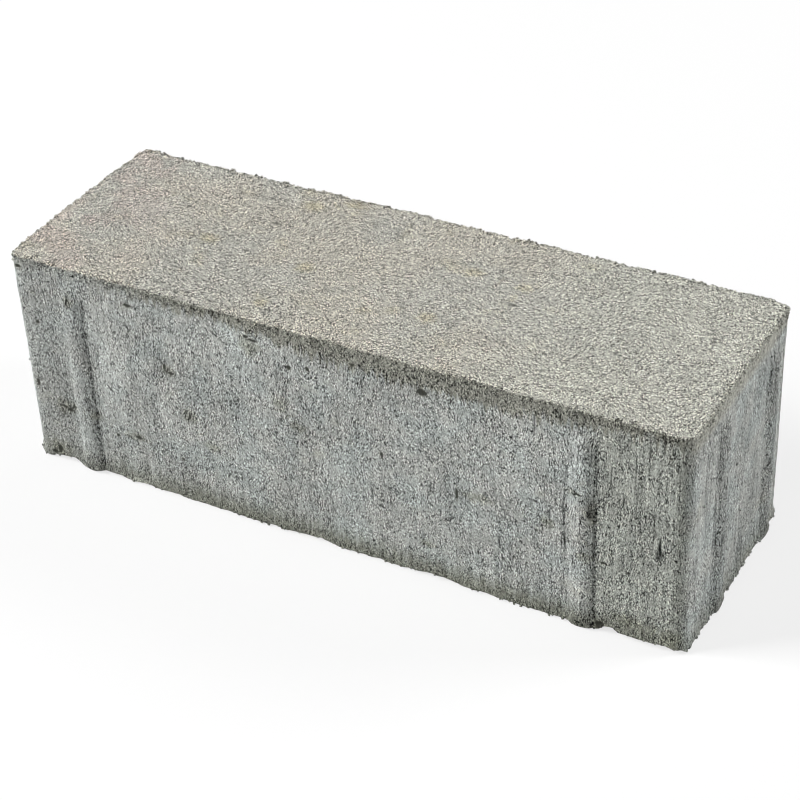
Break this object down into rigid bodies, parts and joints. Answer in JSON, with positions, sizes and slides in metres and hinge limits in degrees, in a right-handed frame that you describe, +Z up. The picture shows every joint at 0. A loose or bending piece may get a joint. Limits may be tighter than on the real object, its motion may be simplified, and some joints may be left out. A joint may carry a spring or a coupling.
{
  "type": "concrete paving stone",
  "caption": "Moulded concrete paving stone: a long upright block with rounded corners and shallow spacer ribs on its sides that keep the joint to its neighbours open",
  "frame": {"origin": "Middle of the bedding face, which the stone stands on", "axes": "X along the length, Y across the width, Z up to the face that is walked on; -Y is the long side seen in the picture and +X the end seen in it"},
  "size_m": [0.3016, 0.102, 0.1],
  "materials": {
    "concrete": "matte, sandy and open-pored"
  },
  "bodies": {
    "root": {"paving_stone": "concrete"}
  },
  "joints": []
}
